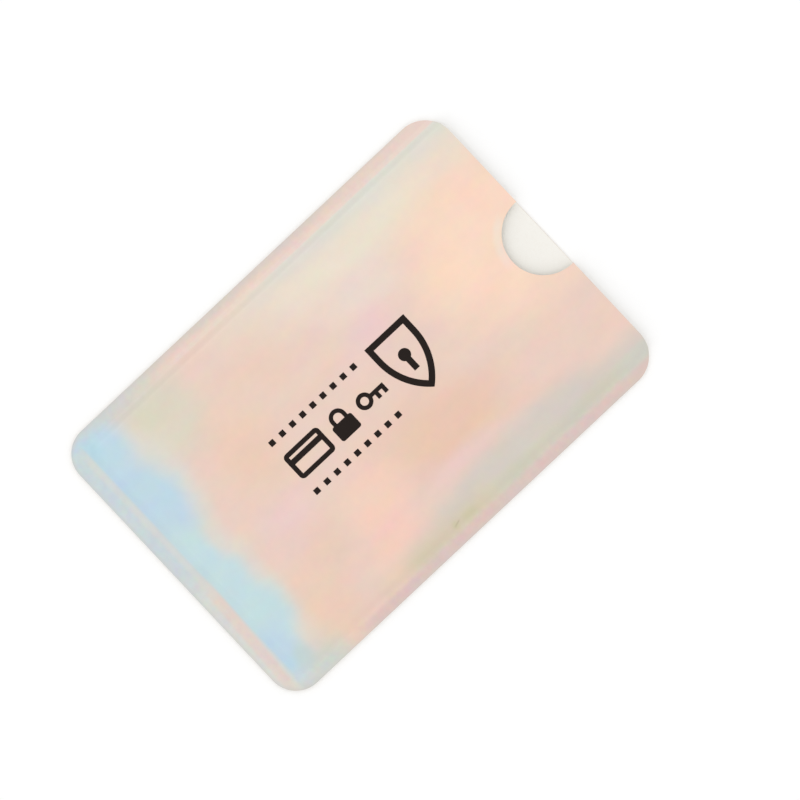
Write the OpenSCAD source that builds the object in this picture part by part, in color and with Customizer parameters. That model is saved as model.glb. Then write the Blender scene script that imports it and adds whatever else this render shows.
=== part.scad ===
// Sleeve for one ID-1 format blank, lying on its rear face with its mouth towards +Y.
// Two laminated sheets, each of film, foil and board, are bonded along both sides and the bottom.
// The front sheet rises from the bonded border to a flat panel and has a thumb notch at the mouth.

/* [Format] */
// Width of the format that the pocket takes
format_w = 53.98; // [50:0.01:60]
// Length of that format
format_l = 85.6; // [80:0.1:92]
// Thickness of that format
format_t = 0.76; // [0.6:0.01:1]

/* [Pocket] */
// Play between the format and each side seam
side_play = 1.56; // [1.3:0.01:2.2]
// Play between the format and the bottom seam
end_play = 2.2; // [1:0.1:6]
// Height of the open pocket above the format
lift_play = 0.24; // [0.15:0.01:0.6]
// Height left above the format's long edges, under the slope of the front sheet
edge_play = 0.05; // [0.02:0.01:0.12]
// Radius of the pocket's bottom corners, at the seams' inner edge
pocket_r = 3; // [2.6:0.1:6]

/* [Seams] */
// Width of each side seam
side_seam = 2.5; // [2:0.1:4]
// Width of the bottom seam
bottom_seam = 3.2; // [2.4:0.1:6]
// Thickness of the bond in the seams
bond_t = 0.05; // [0.03:0.01:0.15]

/* [Sheets] */
// Thickness of the printed outer film
film_t = 0.05; // [0.03:0.01:0.1]
// Thickness of the shielding foil
foil_t = 0.03; // [0.02:0.01:0.1]
// Thickness of the board
board_t = 0.2; // [0.12:0.01:0.4]

/* [Outline] */
// Radius of the two corners at the bottom
bottom_r = 5.6; // [3:0.1:8]
// Radius of the two corners at the mouth
mouth_r = 6; // [2:0.1:8]
// Radius of the thumb notch
notch_r = 7.5; // [6:0.1:9]
// Depth of the thumb notch below the mouth
notch_depth = 7.9; // [5:0.1:12]

/* [Print] */
// Thickness of the printed ink
ink_t = 0.03; // [0.02:0.01:0.08]
// Gap between one printed mark and the next
mark_gap = 1.6; // [1:0.1:2.4]
// Width of the shield mark
shield_w = 9.6; // [8:0.1:11]
// Height of the shield mark
shield_h = 13.4; // [11:0.1:16]
// Height of the shield mark's straight sides
shield_side = 3.4; // [2.4:0.1:5]
// Line width of the shield mark
shield_line = 1.2; // [0.8:0.1:1.6]
// Radius of the keyhole in the shield mark
keyhole_r = 1.2; // [0.8:0.1:1.6]
// Length of the keyhole's slot in the shield mark
keyhole_l = 3.4; // [2.4:0.1:4]
// Length of the panel mark
panel_mark_l = 8.4; // [7:0.1:10]
// Height of the panel mark
panel_mark_h = 5.6; // [4.6:0.1:7]
// Line width of the panel mark
panel_mark_line = 0.9; // [0.6:0.1:1.2]
// Height of the stripe in the panel mark
stripe_h = 1.1; // [0.8:0.1:1.4]
// Width of the padlock mark's body
lock_w = 4.6; // [3.8:0.1:5.4]
// Height of the padlock mark's body
lock_h = 3.2; // [2.6:0.1:4]
// Radius of the corners of the padlock mark's body
lock_corner_r = 0.5; // [0.2:0.1:0.8]
// Outer radius of the padlock mark's shackle
shackle_r = 1.7; // [1.4:0.1:1.8]
// Height of the shackle's straight legs above the body
shackle_leg = 0.7; // [0.3:0.1:1.2]
// Line width of the padlock mark's shackle
shackle_line = 0.8; // [0.5:0.1:1]
// Outer radius of the key mark's bow
bow_r = 1.6; // [1.3:0.1:2]
// Length of the key mark's stem beyond the bow
stem_l = 3; // [2.5:0.1:4.5]
// Line width of the key mark
key_line = 0.8; // [0.5:0.1:1]
// Length of the key mark's teeth below the stem
tooth_l = 1.1; // [0.6:0.1:1.6]
// Side of each square in the two rows beside the marks
square_w = 1.1; // [0.7:0.1:1.6]
// Step from one square to the next
square_step = 2.5; // [2:0.1:4]
// Distance of the two rows from the block's middle line
row_offset = 5.9; // [5.2:0.1:7]

/* [Hidden] */
$fn = 96;

pocket_w = format_w + 2 * side_play;
pocket_h = format_t + lift_play;
sleeve_w = pocket_w + 2 * side_seam;
sleeve_l = bottom_seam + end_play + format_l;
mouth_y = sleeve_l / 2;
foot_y = -mouth_y;

sheet_t = film_t + foil_t + board_t;
seam_z = sheet_t + bond_t;
rise_h = pocket_h - bond_t;
// Width of the slope, steep enough for the format's edges to clear the chord of its curve
rise_w = side_play * rise_h / (format_t + edge_play - bond_t);
panel_z = seam_z + rise_h;
print_z = panel_z + sheet_t;

// Facets of the slope from seam to panel, and of each bottom corner, an even number
rise_steps = 6;
corner_steps = 8;
// Distance that a shape runs on past the edge which trims it
overrun = 2;
// Least radius of the panel's bottom corners, where the slope is wider than the pocket's
least_r = 0.2;

// Insets of the rings from the seams' inner edge, and the height of each above the seams
rings = concat([-side_seam - bottom_seam - overrun, 0], [for (k = [1 : rise_steps]) rise_w * k / rise_steps]);
lifts = concat([0, 0], [for (k = [1 : rise_steps]) rise_h * eased(k / rise_steps)]);
seam_ring = 1;
panel_ring = len(rings) - 1;

// Stations along a ring, from the mouth's left side round the bottom to its right side, where it turns or ends
left_foot = 1;
bottom_left = left_foot + corner_steps;
bottom_right = bottom_left + 1;
right_foot = bottom_right + corner_steps;
last_station = right_foot + 1;
// Stations in the middle of each turn, where one bond meets the next
left_mitre = (left_foot + bottom_left) / 2;
right_mitre = (bottom_right + right_foot) / 2;

// Places of the printed marks along the sleeve, in one block centred on it
key_l = 2 * bow_r + stem_l;
row_l = panel_mark_l + mark_gap + lock_w + mark_gap + key_l;
marks_start = -(row_l + mark_gap + shield_w) / 2;
panel_mark_u = marks_start + panel_mark_l / 2;
lock_u = marks_start + panel_mark_l + mark_gap + lock_w / 2;
key_u = lock_u + lock_w / 2 + mark_gap + bow_r;
shield_u = marks_start + row_l + mark_gap + shield_w / 2;
square_count = floor((row_l - square_w) / square_step) + 1;

film_colour = [0.94, 0.85, 0.81];
foil_colour = [0.75, 0.76, 0.78];
board_colour = [0.96, 0.95, 0.92];
bond_colour = [0.88, 0.86, 0.8];
ink_colour = [0.06, 0.06, 0.07];

// A curve from 0 to 1 that is level at both ends
function eased(s) = s * s * (3 - 2 * s);

// One ring at an inset from the seams' inner edge
function ring(inset) = let (
    r = max(pocket_r - inset, least_r),
    x = pocket_w / 2 - inset - r,
    y = foot_y + bottom_seam + inset + r,
    turn = [for (i = [0 : corner_steps]) 90 * i / corner_steps]
) concat(
    [[-x - r, mouth_y + overrun]],
    [for (a = turn) [-x - r * cos(a), y - r * sin(a)]],
    [for (a = turn) [x + r * sin(a), y - r * cos(a)]],
    [[x + r, mouth_y + overrun]]
);

// Points on the rings up to one, from one station to another, at a height above the front sheet's underside
function grid(rows, i0, i1, height) = [
    for (k = [0 : rows], i = [i0 : i1]) concat(ring(rings[k])[i], seam_z + lifts[k] + height)
];

module outline() {
    straight = sleeve_l - bottom_r - mouth_r;
    translate([-sleeve_w / 2, foot_y + bottom_r])
        square([sleeve_w, straight]);
    translate([-sleeve_w / 2 + bottom_r, foot_y])
        square([sleeve_w - 2 * bottom_r, bottom_r]);
    translate([-sleeve_w / 2 + mouth_r, mouth_y - mouth_r])
        square([sleeve_w - 2 * mouth_r, mouth_r]);
    for (side = [-1, 1]) {
        translate([side * (sleeve_w / 2 - bottom_r), foot_y + bottom_r])
            circle(bottom_r);
        translate([side * (sleeve_w / 2 - mouth_r), mouth_y - mouth_r])
            circle(mouth_r);
    }
}

// Trims a shape of the front sheet to the sleeve's outline
module trimmed() {
    intersection() {
        linear_extrude(print_z + overrun)
            outline();
        children();
    }
}

// The thumb notch, with straight sides where it is deeper than its radius
module notch() {
    centre_y = mouth_y - notch_depth + notch_r;
    translate([0, centre_y, 0])
        cylinder(r = notch_r, h = print_z + overrun);
    translate([-notch_r, centre_y, 0])
        cube([2 * notch_r, notch_depth, print_z + overrun]);
}

module notched() {
    difference() {
        trimmed()
            children();
        notch();
    }
}

// One stretch of the front sheet's border, as wide as some rings, between two heights above its underside
module border(rows, i0, i1, low, high) {
    last = i1 - i0;
    below = [for (k = [0 : rows]) [for (i = [0 : last]) k * (last + 1) + i]];
    above = below + [for (k = [0 : rows]) [for (i = [0 : last]) (rows + 1) * (last + 1)]];
    faces = concat(
        [for (k = [0 : rows - 1], i = [0 : last - 1]) [above[k][i], above[k + 1][i], above[k + 1][i + 1]]],
        [for (k = [0 : rows - 1], i = [0 : last - 1]) [above[k][i], above[k + 1][i + 1], above[k][i + 1]]],
        [for (k = [0 : rows - 1], i = [0 : last - 1]) [below[k][i], below[k + 1][i + 1], below[k + 1][i]]],
        [for (k = [0 : rows - 1], i = [0 : last - 1]) [below[k][i], below[k][i + 1], below[k + 1][i + 1]]],
        [for (i = [0 : last - 1]) [below[0][i], above[0][i], above[0][i + 1], below[0][i + 1]]],
        [for (i = [0 : last - 1]) [below[rows][i], below[rows][i + 1], above[rows][i + 1], above[rows][i]]],
        [for (k = [0 : rows - 1]) [below[k][0], below[k + 1][0], above[k + 1][0], above[k][0]]],
        [for (k = [0 : rows - 1]) [below[k][last], above[k][last], above[k + 1][last], below[k + 1][last]]]
    );
    polyhedron(concat(grid(rows, i0, i1, low), grid(rows, i0, i1, high)), faces, convexity = 6);
}

// The front sheet's flat panel between two heights above its underside
module panel(low, high) {
    translate([0, 0, panel_z + low])
        linear_extrude(high - low)
            polygon(ring(rings[panel_ring]));
}

// A whole layer of the front sheet between two heights above its underside
module front_layer(low, high) {
    notched() {
        border(panel_ring, 0, last_station, low, high);
        panel(low, high);
    }
}

// A whole layer of the rear sheet between two heights
module rear_layer(low, high) {
    translate([0, 0, low])
        linear_extrude(high - low)
            outline();
}

module rear_film() {
    color(film_colour)
        rear_layer(0, film_t);
}

module rear_foil() {
    color(foil_colour)
        rear_layer(film_t, film_t + foil_t);
}

module rear_board() {
    color(board_colour)
        rear_layer(film_t + foil_t, sheet_t);
}

module bond(i0, i1) {
    color(bond_colour)
        trimmed()
            border(seam_ring, i0, i1, -bond_t, 0);
}

module left_bond() {
    bond(0, left_mitre);
}

module bottom_bond() {
    bond(left_mitre, right_mitre);
}

module right_bond() {
    bond(right_mitre, last_station);
}

module board_edge(i0, i1) {
    color(board_colour)
        trimmed()
            border(panel_ring, i0, i1, 0, board_t);
}

module front_board_left_edge() {
    board_edge(0, left_foot);
}

module front_board_left_corner() {
    board_edge(left_foot, bottom_left);
}

module front_board_bottom_edge() {
    board_edge(bottom_left, bottom_right);
}

module front_board_right_corner() {
    board_edge(bottom_right, right_foot);
}

module front_board_right_edge() {
    board_edge(right_foot, last_station);
}

module front_board_panel() {
    color(board_colour)
        notched()
            panel(0, board_t);
}

module front_foil() {
    color(foil_colour)
        front_layer(board_t, board_t + foil_t);
}

module front_film() {
    color(film_colour)
        front_layer(board_t + foil_t, sheet_t);
}

// A flat mark that reads towards the mouth, printed on the panel at a place along and across the sleeve
module printed(along, across = 0) {
    color(ink_colour)
        translate([across, along, print_z])
            rotate([0, 0, 90])
                linear_extrude(ink_t)
                    children();
}

// A rectangle with round corners, centred
module round_square(w, h, r) {
    square([w, h - 2 * r], center = true);
    square([w - 2 * r, h], center = true);
    for (x = [-1, 1], y = [-1, 1])
        translate([x * (w / 2 - r), y * (h / 2 - r)])
            circle(r);
}

// The shield's outline drawn a distance inside the full one, with straight sides over a pointed arch
module shield_shape(inset) {
    shoulder = shield_h / 2 - shield_side;
    drop = shield_h - shield_side;
    arch_r = (drop * drop + shield_w * shield_w / 4) / shield_w;
    translate([-shield_w / 2 + inset, shoulder])
        square([shield_w - 2 * inset, shield_side - inset]);
    intersection() {
        translate([shield_w / 2 - arch_r, shoulder])
            circle(arch_r - inset);
        translate([arch_r - shield_w / 2, shoulder])
            circle(arch_r - inset);
        translate([-shield_w / 2, -shield_h / 2])
            square([shield_w, drop]);
    }
}

module shield_mark() {
    printed(shield_u) {
        difference() {
            shield_shape(0);
            shield_shape(shield_line);
        }
        translate([0, keyhole_r])
            circle(keyhole_r);
        translate([-keyhole_r / 2, keyhole_r - keyhole_l])
            square([keyhole_r, keyhole_l]);
    }
}

module panel_mark() {
    inner_l = panel_mark_l - 2 * panel_mark_line;
    inner_h = panel_mark_h - 2 * panel_mark_line;
    printed(panel_mark_u) {
        difference() {
            round_square(panel_mark_l, panel_mark_h, panel_mark_line);
            square([inner_l, inner_h], center = true);
        }
        translate([-panel_mark_l / 2 + panel_mark_line / 2, inner_h / 2 - 1.5 * stripe_h])
            square([panel_mark_l - panel_mark_line, stripe_h]);
    }
}

module lock_mark() {
    height = lock_h + shackle_leg + shackle_r;
    body_top = lock_h - height / 2;
    shackle_y = body_top + shackle_leg;
    printed(lock_u) {
        translate([0, body_top - lock_h / 2])
            round_square(lock_w, lock_h, lock_corner_r);
        translate([0, shackle_y])
            difference() {
                circle(shackle_r);
                circle(shackle_r - shackle_line);
                translate([-lock_w, -2 * lock_w])
                    square(2 * lock_w);
            }
        for (x = [-shackle_r, shackle_r - shackle_line])
            translate([x, body_top - lock_corner_r])
                square([shackle_line, shackle_leg + lock_corner_r]);
    }
}

module key_mark() {
    tip = bow_r + stem_l;
    printed(key_u) {
        difference() {
            circle(bow_r);
            circle(bow_r - key_line);
        }
        translate([bow_r - key_line / 2, -key_line / 2])
            square([stem_l + key_line / 2, key_line]);
        for (tooth = [0, 1])
            translate([tip - key_line - 2 * tooth * key_line, -key_line / 2 - tooth_l])
                square([key_line, tooth_l + key_line / 2]);
    }
}

module square_rows() {
    for (side = [-1, 1], k = [0 : square_count - 1])
        printed(marks_start + square_w / 2 + k * square_step, side * row_offset)
            square(square_w, center = true);
}

rear_film();
rear_foil();
rear_board();
left_bond();
right_bond();
bottom_bond();
front_board_panel();
front_board_left_edge();
front_board_right_edge();
front_board_bottom_edge();
front_board_left_corner();
front_board_right_corner();
front_foil();
front_film();
shield_mark();
panel_mark();
lock_mark();
key_mark();
square_rows();
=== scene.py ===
"""Dresses the laminated sleeve: its holographic film, foil, board, bonds and ink, on a plain pale stage.

The sleeve lies on its rear sheet with its mouth towards +Y. Shapes are in metres, as the frame is.
Finishes work in millimetres of the same frame.
"""

import math
from collections import namedtuple

import bpy
from bpy.props import FloatProperty, FloatVectorProperty, PointerProperty
from mathutils import Matrix, Vector


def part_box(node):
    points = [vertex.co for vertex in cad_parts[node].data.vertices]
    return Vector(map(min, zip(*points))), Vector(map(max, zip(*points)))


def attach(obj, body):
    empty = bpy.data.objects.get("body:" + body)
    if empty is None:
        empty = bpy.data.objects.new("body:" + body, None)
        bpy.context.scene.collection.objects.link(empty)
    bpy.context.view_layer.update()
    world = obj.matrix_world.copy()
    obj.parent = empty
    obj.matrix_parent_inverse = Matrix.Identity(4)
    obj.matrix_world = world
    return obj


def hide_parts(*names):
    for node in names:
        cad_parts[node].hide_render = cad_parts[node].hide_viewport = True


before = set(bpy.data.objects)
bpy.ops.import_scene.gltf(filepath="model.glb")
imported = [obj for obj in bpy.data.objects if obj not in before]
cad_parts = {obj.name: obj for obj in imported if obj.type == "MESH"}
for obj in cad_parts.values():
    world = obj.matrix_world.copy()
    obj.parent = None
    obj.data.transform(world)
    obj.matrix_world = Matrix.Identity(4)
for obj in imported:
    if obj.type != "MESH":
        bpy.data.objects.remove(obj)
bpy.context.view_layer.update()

bl_info = {
    "name": "Laminated sleeve",
    "version": (1, 0, 0),
    "blender": (4, 5, 0),
    "location": "View3D > Sidebar > Sleeve",
    "description": "Builds the layers, print and finishes of a laminated shielding sleeve",
    "category": "Object",
}

MM = 0.001
BODY = "root"

BOARD_NODES = (
    "front_board_panel",
    "front_board_left_edge",
    "front_board_right_edge",
    "front_board_bottom_edge",
    "front_board_left_corner",
    "front_board_right_corner",
)
BOND_NODES = ("left_bond", "right_bond", "bottom_bond")
MARK_NODES = ("shield_mark", "panel_mark", "lock_mark", "key_mark", "square_rows")

SHEET_LOW, SHEET_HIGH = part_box("rear_film")
SEAM_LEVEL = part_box("front_board_bottom_edge")[0].z
PANEL_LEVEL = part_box("front_board_panel")[0].z
PANEL_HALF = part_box("front_board_panel")[1].x


def thickness(node):
    """Height of a CAD node's box."""
    low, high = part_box(node)
    return high.z - low.z


def shade(red, green, blue):
    """A display colour of 0 to 255 as the linear colour that shaders use, by the sRGB curve."""

    def linear(value):
        part = value / 255
        return part / 12.92 if part <= 0.04045 else ((part + 0.055) / 1.055) ** 2.4

    return linear(red), linear(green), linear(blue)


def number(label, text, value, **more):
    """A number that a user can set."""
    return FloatProperty(name=label, description=text, default=value, **more)


def distance(label, text, value):
    """A length that a user can set."""
    return number(label, text, value, unit="LENGTH", subtype="DISTANCE")


def share(label, text, value):
    """A share from 0 to 1 that a user can set."""
    return number(label, text, value, min=0.0, max=1.0, subtype="FACTOR")


def swatch(label, text, *value):
    """A colour that a user can set, given as a display colour."""
    return FloatVectorProperty(
        name=label, description=text, default=shade(*value), size=3, min=0.0, max=1.0, subtype="COLOR"
    )


class SleeveSizes(bpy.types.PropertyGroup):
    """Sizes of the sleeve's two sheets."""

    width: distance("Width", "Width of both sheets", SHEET_HIGH.x - SHEET_LOW.x)
    length: distance("Length", "Length of both sheets, mouth to foot", SHEET_HIGH.y - SHEET_LOW.y)
    bottom_radius: distance("Bottom Radius", "Radius of the two corners at the foot", 5.6 * MM)
    mouth_radius: distance("Mouth Radius", "Radius of the two corners at the mouth", 6.0 * MM)
    notch_radius: distance("Notch Radius", "Radius of the thumb notch", 7.5 * MM)
    notch_depth: distance("Notch Depth", "Depth of the thumb notch below the mouth", 7.9 * MM)
    side_seam: distance("Side Seam", "Width of each pressed side seam", 2.5 * MM)
    bottom_seam: distance("Bottom Seam", "Width of the pressed bottom seam", 3.2 * MM)
    pocket_radius: distance("Pocket Radius", "Radius of the pocket's bottom corners", 3.0 * MM)
    level: distance("Seam Level", "Height of the front sheet's underside at the seams", SEAM_LEVEL)
    rise: distance("Rise", "Height that the front sheet gains up to its panel", PANEL_LEVEL - SEAM_LEVEL)
    film: distance("Film", "Thickness of each film", thickness("rear_film"))
    foil: distance("Foil", "Thickness of each foil", thickness("rear_foil"))
    board: distance("Board", "Thickness of each board", thickness("rear_board"))
    foot_ease: distance("Foot Ease", "Length over which the panel sinks to the foot", 9.0 * MM)
    foot_drop: share("Foot Drop", "Share of the rise that the panel loses at the foot", 0.42)
    right_ease: distance("Right Ease", "Width over which the panel sinks to its right side", 7.0 * MM)
    right_drop: share("Right Drop", "Share of the rise that the panel loses at its right side", 0.2)
    wave: distance("Wave", "Depth of the soft waves in the front sheet", 0.08 * MM)
    wave_size: distance("Wave Size", "Size of the soft waves in the front sheet", 17.0 * MM)
    dent_depth: distance("Dent Depth", "Depth of the small dent on the right slope", 0.12 * MM)
    dent_reach: distance("Dent Reach", "Reach of the small dent on the right slope", 1.5 * MM)
    dent_x: distance("Dent X", "Place of the small dent across the sleeve", 27.3 * MM)
    dent_y: distance("Dent Y", "Place of the small dent along the sleeve", -1.8 * MM)
    print_half_width: distance("Print Half Width", "Half width of the level area", 9.0 * MM)
    print_half_length: distance("Print Half Length", "Half length of the level area", 19.0 * MM)


class SleeveColours(bpy.types.PropertyGroup):
    """Colours that the holographic film shows, and those of the other layers, the print and the floor."""

    blush: swatch("Blush", "Ground tone of the film", 235, 207, 193)
    peach: swatch("Peach", "Bright tone below the notch", 250, 217, 195)
    apricot: swatch("Apricot", "Warm tone beside the print", 234, 199, 178)
    coral: swatch("Coral", "Bright warm tone right of the print", 245, 207, 190)
    amber: swatch("Amber", "Warm tone above the cloud", 236, 205, 184)
    cream: swatch("Cream", "Pale tone along the left of the panel", 236, 223, 206)
    shell: swatch("Shell", "Pale pink between the cream and the print", 236, 217, 206)
    rose: swatch("Rose", "Cool pink patches of the panel", 236, 205, 202)
    mint: swatch("Mint", "Pale green of the left slope", 222, 221, 209)
    blossom: swatch("Blossom", "Tone of the left side seam", 233, 209, 198)
    pink: swatch("Pink", "Tone of the right side seam", 221, 196, 189)
    # Ash, sage and moss are the film's grey and green hues with painted shade: darker on the right of the
    # front panel and its slope, away from the light
    ash: swatch("Ash", "Grey tone of the right of the panel", 214, 204, 195)
    sage: swatch("Sage", "Grey green along the right slope", 211, 206, 189)
    moss: swatch("Moss", "Yellow green low on the right slope", 216, 204, 180)
    # A painted glint about the small dent, and a painted shadow in it
    straw: swatch("Straw", "Yellow about the small dent", 209, 203, 170)
    crease: swatch("Crease", "Shadow in the small dent", 192, 182, 152)
    lime: swatch("Lime", "Yellow green above the cloud", 221, 213, 194)
    pearl: swatch("Pearl", "Cool grey of the lower corners", 207, 210, 206)
    veil: swatch("Veil", "Pale haze between the cloud and the panel", 220, 218, 210)
    sky: swatch("Sky", "Blue of the cloud above the foot", 192, 216, 230)
    aqua: swatch("Aqua", "Green blue of the cloud", 198, 222, 226)
    jade: swatch("Jade", "Grey green at the right end of the cloud", 195, 212, 209)
    cyan: swatch("Cyan", "Brightest blue, at the left end of the crease", 184, 217, 230)
    mist: swatch("Mist", "Grey of the bottom seam", 203, 215, 217)
    salmon: swatch("Salmon", "Warm stretch of the bottom seam", 227, 209, 200)
    film_share: share("Film Share", "Share of the light that the film gives back", 0.945)
    # The film's cut edge, with painted shade over a band along it at the sides and foot
    rim: swatch("Rim", "Cut edge of the film", 205, 200, 194)
    # Painted highlight along the pale lower edge of the thumb notch
    lip: swatch("Lip", "Pale lower edge of the thumb notch", 245, 223, 207)
    paper: swatch("Paper", "Face of the board", 243, 241, 235)
    pulp: swatch("Pulp", "Cut edge of the board", 214, 203, 186)
    metal: swatch("Metal", "Shielding foil", 205, 207, 210)
    glue: swatch("Glue", "Bond in the seams", 222, 214, 196)
    ink: swatch("Ink", "Printed marks", 26, 18, 15)
    thin_ink: swatch("Thin Ink", "Printed marks where the ink is thinner", 38, 29, 24)
    floor: swatch("Floor", "Floor of the stage", 252, 252, 252)


class SleeveStage(bpy.types.PropertyGroup):
    """Camera and light."""

    turn: number("Turn", "Turn of the sleeve in the picture", math.radians(43.2), subtype="ANGLE")
    lens: number("Lens", "Focal length in millimetres", 200.0, min=20.0)
    view_width: distance("View Width", "Width that the picture takes in at the panel", 143.96 * MM)
    right_shift: distance("Right Shift", "Camera's place to the right of the middle", 7.10 * MM)
    up_shift: distance("Up Shift", "Camera's place above the middle in the picture", 0.92 * MM)
    sky: number("Sky", "Brightness of the surroundings", 1.035, min=0.0)
    key: number("Key", "Power of the soft light", 2.0, min=0.0, unit="POWER")


def compute(tree, operation, *values):
    """Adds one math node."""
    node = tree.nodes.new("ShaderNodeMath")
    node.operation = operation
    for slot, value in zip(node.inputs, values):
        feed(tree, slot, value)
    return Field(tree, node.outputs[0])


class Field:
    """A number that varies over a shape. Formulas on it add math nodes to its tree."""

    def __init__(self, tree, socket):
        self.tree = tree
        self.socket = socket

    def math(self, operation, *others):
        return compute(self.tree, operation, self, *others)

    def __add__(self, other):
        return self.math("ADD", other)

    def __sub__(self, other):
        return self.math("SUBTRACT", other)

    def __mul__(self, other):
        return self.math("MULTIPLY", other)

    def __truediv__(self, other):
        return self.math("DIVIDE", other)

    def __rsub__(self, other):
        return compute(self.tree, "SUBTRACT", other, self)

    def __rtruediv__(self, other):
        return compute(self.tree, "DIVIDE", other, self)

    __radd__ = __add__
    __rmul__ = __mul__

    def __abs__(self):
        return self.math("ABSOLUTE")

    def least(self, other):
        return self.math("MINIMUM", other)

    def most(self, other):
        return self.math("MAXIMUM", other)

    def below(self, limit):
        """1 where it is less than a limit, and 0 elsewhere."""
        return self.math("LESS_THAN", limit)

    def held(self):
        """Kept from 0 to 1."""
        return self.most(0.0).least(1.0)

    def root(self):
        return self.most(0.0).math("SQRT")

    def sine(self):
        return self.math("SINE")

    def eased(self):
        """From 0 to 1 along a curve that is level at both ends."""
        part = self.held()
        return part * part * (3.0 - part * 2.0)

    def fading(self, start, reach):
        """1 up to a start, and eased to 0 over a reach past it."""
        return 1.0 - ((self - start) / reach).eased()


def feed(tree, slot, value):
    """Links a field or socket to an input, or sets the input to a plain value."""
    if isinstance(value, Field):
        tree.links.new(value.socket, slot)
    elif isinstance(value, bpy.types.NodeSocket):
        tree.links.new(value, slot)
    elif slot.type == "RGBA":
        slot.default_value = (*value, 1.0)
    else:
        slot.default_value = value


def put(tree, kind, settings=None, **inputs):
    """Adds a node. Settings are its attributes. Inputs go by name, with _ for a space."""
    node = tree.nodes.new(kind)
    for name, value in (settings or {}).items():
        setattr(node, name, value)
    for name, value in inputs.items():
        feed(tree, node.inputs[name.replace("_", " ")], value)
    return node


def put_group(tree, group, **inputs):
    """Adds a shader node group, with its inputs by name as for put."""
    return put(tree, "ShaderNodeGroup", {"node_tree": group}, **inputs)


def new_group(kind, name, inputs, numbers, outputs):
    """A node group with named sockets. Gives its tree, its inputs, numbers as fields, and its end's slots."""
    tree = bpy.data.node_groups.new(name, kind)
    inputs = {**inputs, **{label: FLOAT for label in numbers}}
    for label, socket_type in inputs.items():
        tree.interface.new_socket(name=label, in_out="INPUT", socket_type=socket_type)
    for label, socket_type in outputs.items():
        tree.interface.new_socket(name=label, in_out="OUTPUT", socket_type=socket_type)
    start = tree.nodes.new("NodeGroupInput")
    end = tree.nodes.new("NodeGroupOutput")
    given = {}
    for label, socket_type in inputs.items():
        socket = start.outputs[label]
        given[label] = Field(tree, socket) if socket_type == FLOAT else socket
    return tree, given, end.inputs


# Kinds of socket
FLOAT = "NodeSocketFloat"
COUNT = "NodeSocketInt"
VECTOR = "NodeSocketVector"
COLOUR = "NodeSocketColor"
MATERIAL = "NodeSocketMaterial"
GEOMETRY = "NodeSocketGeometry"
# Places of the colour sockets on a Mix node
MIX_FACTOR, MIX_A, MIX_B, MIX_RESULT = 0, 6, 7, 2


def parts_of(tree, vector):
    """A vector's X and Y as fields."""
    node = put(tree, "ShaderNodeSeparateXYZ", Vector=vector)
    return Field(tree, node.outputs["X"]), Field(tree, node.outputs["Y"])


def joined(tree, x, y, z=0.0):
    """Fields or numbers as one vector."""
    return put(tree, "ShaderNodeCombineXYZ", X=x, Y=y, Z=z).outputs[0]


def scaled(tree, vector, factor):
    """A vector or colour times a number."""
    node = put(tree, "ShaderNodeVectorMath", {"operation": "SCALE"}, Vector=vector, Scale=factor)
    return node.outputs[0]


def noise(tree, vector, size, detail, rough=0.5):
    """Smooth noise about 0.5, with features of a size in the vector's unit."""
    node = put(tree, "ShaderNodeTexNoise", Vector=vector, Scale=1.0 / size, Detail=detail, Roughness=rough)
    return Field(tree, node.outputs[0])


def wander(tree, place, size, detail, reach):
    """Smooth noise as a vector about zero, at most half a reach long on each axis."""
    source = put(tree, "ShaderNodeTexNoise", Vector=place, Scale=1.0 / size, Detail=detail)
    centred = put(tree, "ShaderNodeVectorMath", {"operation": "SUBTRACT"}, Vector=source.outputs["Color"])
    centred.inputs[1].default_value = (0.5, 0.5, 0.5)
    return scaled(tree, centred.outputs[0], reach)


def mixed(tree, part, under, over):
    """A colour that goes from one to another."""
    node = put(tree, "ShaderNodeMix", {"data_type": "RGBA"})
    feed(tree, node.inputs[MIX_FACTOR], part)
    feed(tree, node.inputs[MIX_A], under)
    feed(tree, node.inputs[MIX_B], over)
    return node.outputs[MIX_RESULT]


# Layers of the sheets

# Stations across half a layer: over the notch, from there to the corner, and round the corner
NOTCH_STATIONS = 22
STRAIGHT_STATIONS = 34
CORNER_STATIONS = 44
HALF_STATIONS = NOTCH_STATIONS + STRAIGHT_STATIONS + CORNER_STATIONS
# Rows of quads along a raised layer and a flat one, and the share of them that a stretch at the foot takes
ROWS = 200
FLAT_ROWS = 1
FOOT_ROWS = 0.35
FOOT_STRETCH = 12.0 * MM
# Width of the strip of quads that makes each straight side of the notch
NOTCH_SIDE = 0.01 * MM
# Angle between faces above which an edge is sharp, and the distance at which points are one
SHARP_ANGLE = math.radians(50)
SAME_PLACE = 0.0005 * MM
# Least rise at which the waves and the dent have their full depth
LEAST_RISE = 1.0 * MM
# Detail of the waves, and how many times as long as wide the dent is
WAVE_DETAIL = 1.0
DENT_SLIM = 2.0

LAYER_SIZES = (
    "Width", "Length", "Bottom Radius", "Mouth Radius", "Notch Radius", "Notch Depth", "Notched",
    "Side Seam", "Bottom Seam", "Pocket Radius", "Level", "Rise", "Slope", "Foot Ease", "Foot Drop",
    "Right Ease", "Right Drop", "Wave", "Wave Size", "Dent Depth", "Dent Reach", "Dent X", "Dent Y",
    "Print Half Width", "Print Half Length", "Low", "High",
)


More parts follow.
